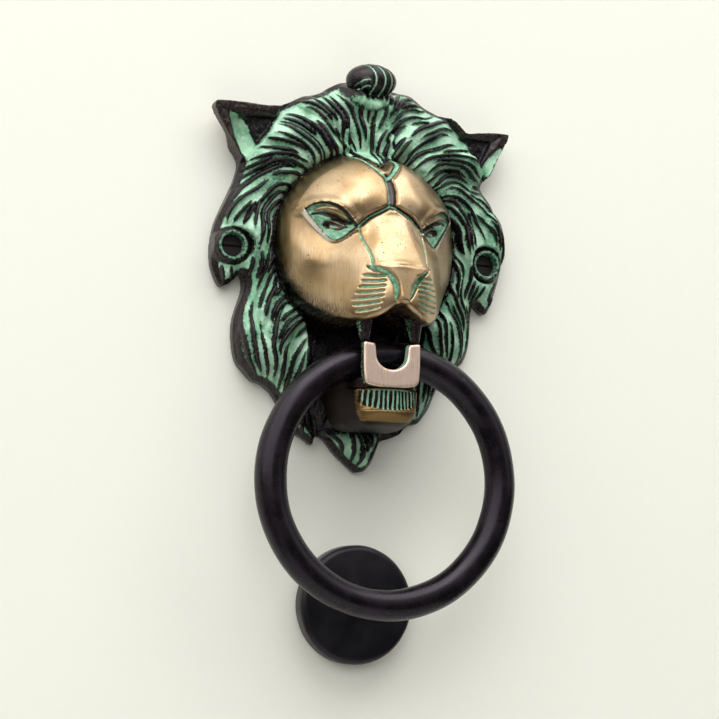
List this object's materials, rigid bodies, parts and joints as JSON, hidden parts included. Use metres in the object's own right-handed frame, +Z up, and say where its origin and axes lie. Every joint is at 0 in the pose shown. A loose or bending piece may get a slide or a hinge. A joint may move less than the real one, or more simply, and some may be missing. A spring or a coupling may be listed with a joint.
{
  "type": "lion head door knocker",
  "caption": "Cast lion mask holding a heavy ring in its jaws, with a round strike plate below; the ring swings out and knocks on the plate.",
  "frame": {"origin": "on the door's face, halfway between the two fixing screws of the mask", "axes": "+Z up, +Y into the door, +X to the right of someone facing the door; the lion looks along -Y"},
  "size_m": [0.123, 0.077, 0.2303],
  "materials": {
    "mask_bronze": "dark patinated bronze, polished on the face, verdigris in the recesses",
    "jaw_bronze": "polished bronze with verdigris in the grooves",
    "ring_iron": "near-black satin, lightly worn",
    "plate_iron": "dark grey satin",
    "fixing_steel": "dulled steel",
    "screw_steel": "plain steel",
    "stud_steel": "plain steel"
  },
  "bodies": {
    "door_fixed": {"lion_mask": "mask_bronze", "lower_jaw": "jaw_bronze", "jaw_screw_left": "screw_steel", "jaw_screw_right": "screw_steel", "jaw_washer_left": "screw_steel", "jaw_washer_right": "screw_steel", "fixing_screw_left": "fixing_steel", "fixing_screw_right": "fixing_steel", "strike_plate": "plate_iron", "strike_stud": "stud_steel"},
    "ring": {"knocker_ring": "ring_iron"}
  },
  "joints": [
    {"name": "ring_swing", "type": "hinge", "parent": "door_fixed", "child": "ring", "pos_m": [0.0025, -0.0301, -0.0418], "axis": [-1, 0, 0], "range_deg": [-9, 90]}
  ]
}
